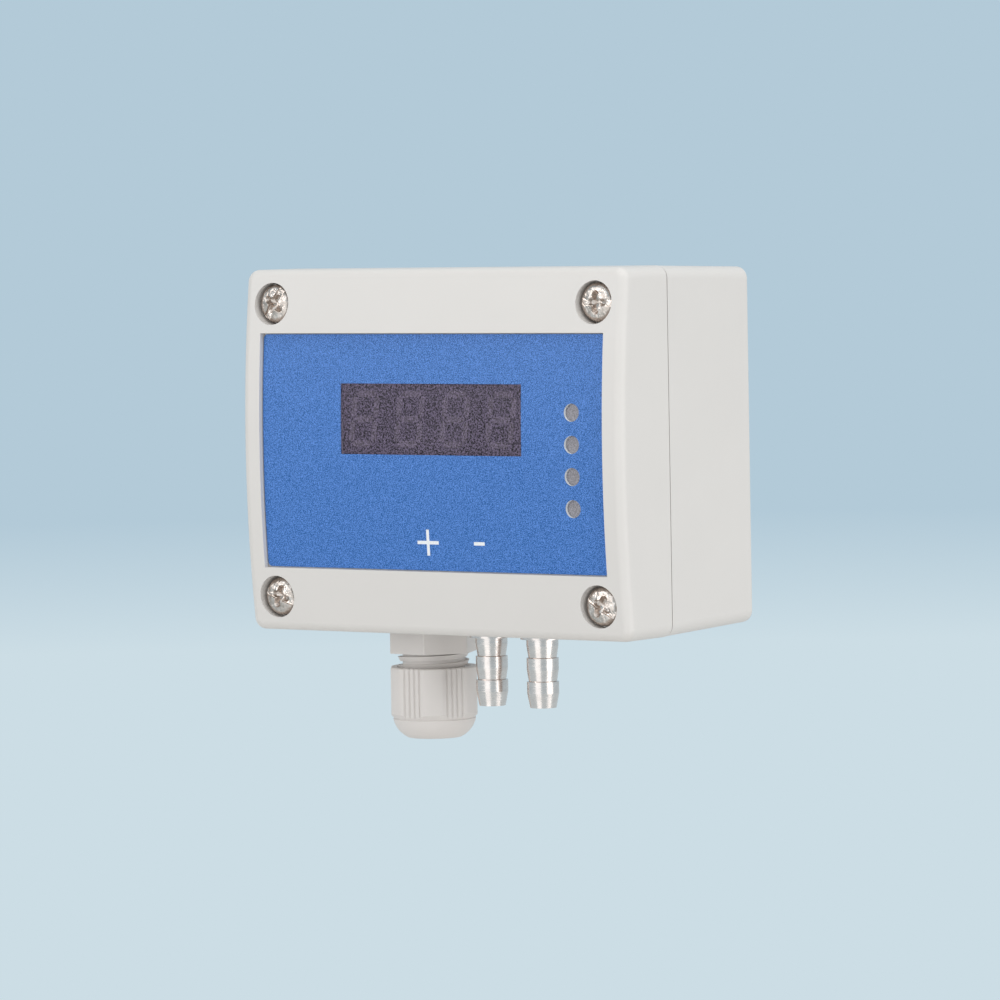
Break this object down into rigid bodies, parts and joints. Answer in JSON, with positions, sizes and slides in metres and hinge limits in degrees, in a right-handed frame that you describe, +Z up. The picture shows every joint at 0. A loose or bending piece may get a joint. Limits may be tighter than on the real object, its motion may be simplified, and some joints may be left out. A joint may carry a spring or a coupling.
{
  "type": "pressure controller",
  "caption": "Wall-mounted differential pressure controller: sealed plastic box with a digital display, indicator lights, a cable gland and barbed hose nozzles underneath.",
  "frame": {"origin": "centre of the flat back face that lies against the wall", "axes": "+X to the viewer's right as the display is read, +Y out of the back into the wall, +Z up"},
  "size_m": [0.084, 0.0432, 0.0872],
  "materials": {
    "housing_plastic": "fine matte moulding, pale grey",
    "label_film": "fine matte grain, printed blue, clear over the display",
    "gland_plastic": "satin nylon, light grey",
    "nozzle_aluminium": "turned and polished",
    "screw_steel": "bright plated",
    "nut_brass": "machined",
    "seal_rubber": "moulded elastomer, black",
    "display_plastic": "dark filter face",
    "led_plastic": "diffused lens, unlit",
    "board_laminate": "green solder mask",
    "connector_plastic": "moulded, black",
    "ribbon_insulation": "flat cable, grey",
    "terminal_plastic": "moulded, green",
    "sensor_plastic": "moulded, white",
    "hose_silicone": "milky silicone",
    "chip_plastic": "moulded, black",
    "button_plastic": "moulded, red",
    "capacitor_sleeve": "shrink sleeve, dark blue"
  },
  "bodies": {
    "housing": {"rear_housing": "housing_plastic", "front_cover": "housing_plastic", "front_label": "label_film", "gland_body": "gland_plastic", "gland_locknut": "gland_plastic", "pressure_nozzle_plus": "nozzle_aluminium", "pressure_nozzle_minus": "nozzle_aluminium", "cover_screws": "screw_steel", "display_board_screws": "screw_steel", "main_board_screws": "screw_steel", "terminal_screws": "screw_steel", "thread_inserts": "nut_brass", "nozzle_nuts": "nut_brass", "cover_gasket": "seal_rubber", "gland_washer": "seal_rubber", "gland_seal": "seal_rubber", "nozzle_washers": "seal_rubber", "display_module": "display_plastic", "status_leds": "led_plastic", "display_board": "board_laminate", "main_board": "board_laminate", "display_socket": "connector_plastic", "main_socket": "connector_plastic", "ribbon_cable": "ribbon_insulation", "terminal_block": "terminal_plastic", "pressure_sensor": "sensor_plastic", "pressure_tube_plus": "hose_silicone", "pressure_tube_minus": "hose_silicone", "microcontroller": "chip_plastic", "tact_switch": "chip_plastic", "capacitors": "capacitor_sleeve"},
    "gland_nut": {"gland_nut": "gland_plastic"},
    "zero_button": {"tact_plunger": "button_plastic"}
  },
  "joints": [
    {"name": "gland_nut_turn", "type": "hinge", "parent": "housing", "child": "gland_nut", "pos_m": [-0.0192, -0.016, -0.0476], "axis": [0, 0, 1], "range_deg": [0, 570]},
    {"name": "zero_button_press", "type": "slide", "parent": "housing", "child": "zero_button", "axis": [0, 1, 0], "range_m": [0, 0.00025], "stiffness_N_per_m": 4000, "springref_m": -0.0002}
  ]
}
